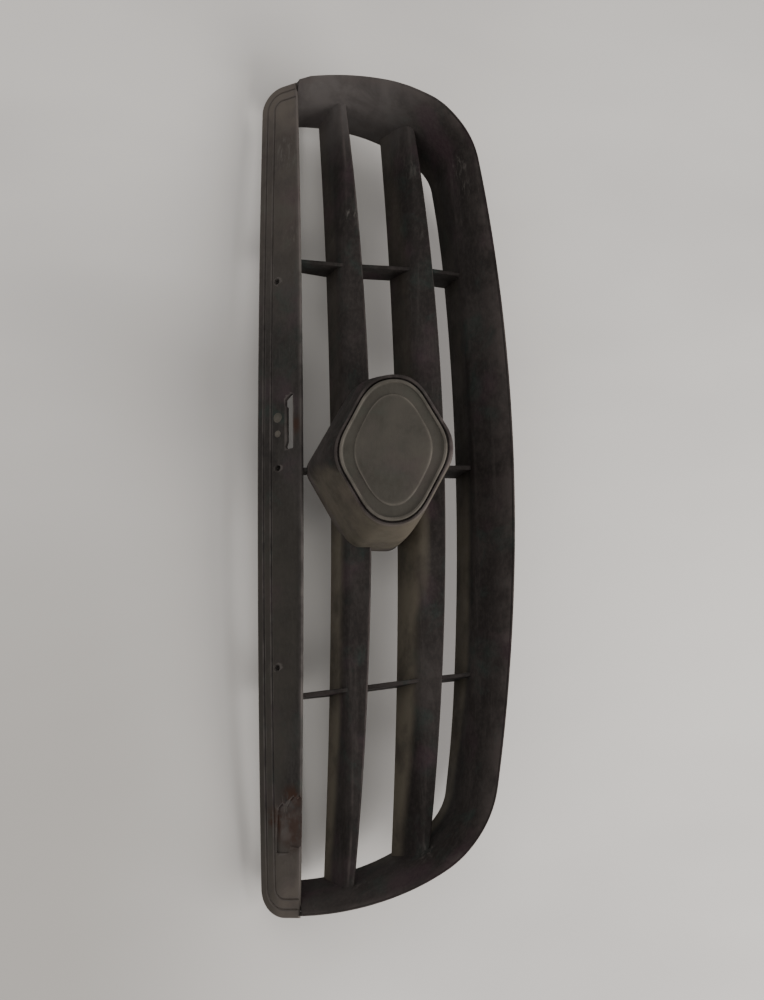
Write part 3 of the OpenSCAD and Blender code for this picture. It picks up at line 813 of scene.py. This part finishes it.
def rail_sheet(top):
    """Rows of points over one of the rail's two faces, from its rear and ends to its front."""
    path = rail_path()
    insets = [(ROUND, 0)] + GROOVES + [(14.4, 0)]
    rows = [[(p + v * inset, up if top else 0) for p, v in path] for inset, up in insets]
    start, last = [q for q, up in rows[-1]], len(path) - 1
    reach, front = -start[0].x, []
    for i, q in enumerate(start):
        k = min(i, last - i)
        inner = reach - FRONT_FIRST - FRONT_STEP * min(k, FRONT_COUNT)
        x = q.x * inner / REAR_END if k >= FRONT_COUNT else math.copysign(inner, q.x)
        front.append(Vector((x, ROUND)))
    for t in (0.2, 0.4, 0.6, 0.8, 1):
        rows.append([(q.lerp(f, t), 0) for q, f in zip(start, front)])
    drop = 0 if top else -RAIL_T
    return [[on_rail(*q, up + drop) for q, up in row] for row in rows]


def rail_mesh():
    """The plate: its two faces, and the rolled edge between their borders."""
    top, under = rail_sheet(True), rail_sheet(False)
    rows, n = len(top), len(top[0])
    points = [p for row in top + under for p in row]
    half = rows * n
    faces = []
    for r in range(rows - 1):
        for i in range(n - 1):
            a, b, c, d = r * n + i, r * n + i + 1, (r + 1) * n + i + 1, (r + 1) * n + i
            faces += [(a, b, c, d), (half + d, half + c, half + b, half + a)]
    border = ([(0, i) for i in range(n)] + [(r, n - 1) for r in range(1, rows)]
              + [(rows - 1, i) for i in range(n - 2, -1, -1)]
              + [(r, 0) for r in range(rows - 2, 0, -1)])
    path = rail_path()
    loops = [[r * n + i for r, i in border]]
    for out, up in RAIL_ROLL:
        loop = []
        for r, i in border:
            w, away = ROUND, Vector((0, -1))
            if r == 0:
                w, away = (path[i][0] + path[i][1] * ROUND).y, -path[i][1]
                if i in (0, n - 1):
                    away = Vector((away.x, -1))
            loop.append(len(points))
            points.append(on_rail(top[r][i].x + away.x * out, w + away.y * out, up))
        loops.append(loop)
    loops.append([half + r * n + i for r, i in border])
    m = len(border)
    for a, b in zip(loops, loops[1:]):
        faces += [(a[i], b[i], b[(i + 1) % m], a[(i + 1) % m]) for i in range(m)]
    return points, faces


def prism_on_rail(corners, low, high):
    """A solid standing on the rail's face over corners (x, w)."""
    n = len(corners)
    points = [on_rail(x, w, up) for up in (low, high) for x, w in corners]
    return points, loft([range(n), range(n)])


def cut(obj, points, faces):
    """Cuts a solid out of a piece and leaves no modifier behind."""
    tool = piece("tool", points, faces, obj.data.materials[0])
    mod = obj.modifiers.new("cut", "BOOLEAN")
    mod.operation, mod.solver, mod.object = "DIFFERENCE", "EXACT", tool
    bpy.context.view_layer.update()
    evaluated = obj.evaluated_get(bpy.context.evaluated_depsgraph_get())
    result = bpy.data.meshes.new_from_object(evaluated)
    obj.modifiers.clear()
    obj.data = result
    bpy.data.objects.remove(tool)


def ring_of(x, w, r):
    """A circle on the rail, of 40 points."""
    return [(x + r * math.cos(a), w + r * math.sin(a)) for a in steps(0, 2 * math.pi, 40)[:-1]]


# Heights below and above both of the plate's faces
BELOW, ABOVE = -5, 3
HOLE_LEDGE, HOLE_LEDGE_DEEP = 0.5, 0.35
# The latch slot is wider at its ends, on the side towards the rear.
x0, x1 = SLOT_X - SLOT_LEN / 2, SLOT_X + SLOT_LEN / 2
w0, w1 = SLOT_Y / SLOPE - SLOT_W / 2, SLOT_Y / SLOPE + SLOT_W / 2
SLOT = ((x0, w0 + 0.6), (x0 + 0.8, w0), (x1, w0), (x1 + 0.6, w0 + 1.5), (x1 - 3.6, w1 + 0.5),
        (x1 - 8.5, w1 + 0.3), (x1 - 9.5, w1 - 0.9), (x0 + 6, w1 - 0.9), (x0 + 2, w1 + 0.4),
        (x0, w1 - 0.4))
# The shallow pocket has a torn outline.
x0, x1 = POCKET_X
POCKET = ((x0, 1.6), (x0 + 1.5, 8.6), (x0 - 3.4, 9.6), (x0 - 3.2, 20.4), (x0 + 8, 21),
          (x1 - 8, 20.2), (x1 - 4.5, 16.5), (x1 - 7, 12.5), (x1 - 2.5, 9.5), (x1, 7), (x1 - 2, 3),
          (x1 + 1, 1.2), (x1 - 4, -1.5), (x0 + 8, -1.5), (x0 + 2, -1))

rail = piece("top_rail_plate", *rail_mesh(), RAIL, ["top_rail"], 42)
for i in (-1, 0, 1):
    x, w = HOLE_SHIFT + i * HOLE_PITCH, HOLE_Y / SLOPE
    cut(rail, *prism_on_rail(ring_of(x, w, HOLE_R), BELOW, ABOVE))
    cut(rail, *prism_on_rail(ring_of(x, w, HOLE_R + HOLE_LEDGE), -HOLE_LEDGE_DEEP, ABOVE))

    collar = ((HOLE_R + 2.2, -RAIL_T + 0.3), (HOLE_R + 2.2, -RAIL_T - 3.4),
              (HOLE_R + 1.8, -RAIL_T - 3.8), (HOLE_R, -RAIL_T - 3.8), (HOLE_R, -RAIL_T + 0.3))
    rings = [[on_rail(*q, up) for q in ring_of(x, w, r)] for r, up in collar]
    lofted(f"rail_hole_collar_{i + 2}", rings, RAIL, crease=40, tube=True)

cut(rail, *prism_on_rail(SLOT, BELOW, ABOVE))
cut(rail, *prism_on_rail(POCKET, -POCKET_DEEP, ABOVE))
mark_wear_and_highlight(rail.data)
rail.data.shade_smooth()
rail.data.set_sharp_from_angle(angle=math.radians(35))

# Two low round pips, each in a shallow ring, in the paler badge plastic and painted pale all
# over as a highlight: how wide against the pip's own radius, and how high
PIP_SHAPE = ((1.5, -0.2), (1.42, 0.28), (1.28, 0.36), (1.12, 0.1), (1.0, 0.12), (0.88, 0.5),
             (0.6, 0.75), (0.3, 0.86), (0.06, 0.9))
PIP_HIGHLIGHT = 0.4
for k, (x, r) in enumerate(PIPS):
    rings = [[on_rail(*q, up) for q in ring_of(x, PIP_Y / SLOPE, r * wide)]
             for wide, up in PIP_SHAPE]
    pip = lofted(f"rail_pip_{k + 1}", rings, BADGE, crease=60).data
    pip.attributes["wear_and_highlight"].data.foreach_set("value", [PIP_HIGHLIGHT] * len(pip.vertices))

# A flange down from the rear edge, fading out into the rounded ends
FLANGE_FADE, FLANGE_LOW = 30, (27.2, 21.8)
FLANGE_BACK, FLANGE_DROP = 13, 5
rings = []
for x in steps(-REAR_END + 2, REAR_END - 2, 200):
    fade = smooth(min(1, (REAR_END - abs(x)) / FLANGE_FADE))
    low = mix(*FLANGE_LOW, fade)
    back, rise = FLANGE_BACK * (x / BOW_REF) ** 2, -FLANGE_DROP * (x / BOW_REF) ** 2
    corners = ((28.3, 28.9, 0.3), (28.3, low, 0.7), (30.7, low, 0.9), (30.7, 28.4, 0.5))
    rings.append([Vector((x, p.x + back, p.y + rise)) for p in rounded(corners, 4)])
lofted("rail_rear_flange", rings, RAIL, crease=40)

# ---- Sheet behind the grille, facing the camera ----
SHEET_BACK, SHEET_HALF = 55, 6.0  # millimetres, metres
y = place(0, SHEET_BACK, 0).y
square = ((-1, -1), (1, -1), (1, 1), (-1, 1))
mesh = bpy.data.meshes.new("sheet")
mesh.from_pydata([(x * SHEET_HALF, y, z * SHEET_HALF) for x, z in square], [], [(0, 1, 2, 3)])
sheet = bpy.data.objects.new("sheet", mesh)
mesh.materials.append(backdrop())
bpy.context.scene.collection.objects.link(sheet)


# ---- Soft studio light ----
LIT = Vector((0, 0, -0.06))


def soft_light(name, at, size, power, colour):
    data = bpy.data.lights.new(name, "AREA")
    data.shape, data.size, data.energy, data.color = "DISK", size, power, colour
    obj = bpy.data.objects.new(name, data)
    obj.location = at
    obj.rotation_euler = (LIT - Vector(at)).to_track_quat("-Z", "Y").to_euler()
    bpy.context.scene.collection.objects.link(obj)


soft_light("key", (-0.9, -1.0, -1.4), size=1.2, power=42, colour=(1.0, 0.97, 0.935))
soft_light("fill", (0.5, -1.8, 0.6), size=2.0, power=4, colour=(1.0, 0.975, 0.95))
world = bpy.data.worlds.new("world")
bpy.context.scene.world = world
world.use_nodes = True
world.node_tree.nodes["Background"].inputs["Color"].default_value = (0.90, 0.875, 0.85, 1)
world.node_tree.nodes["Background"].inputs["Strength"].default_value = 0.75
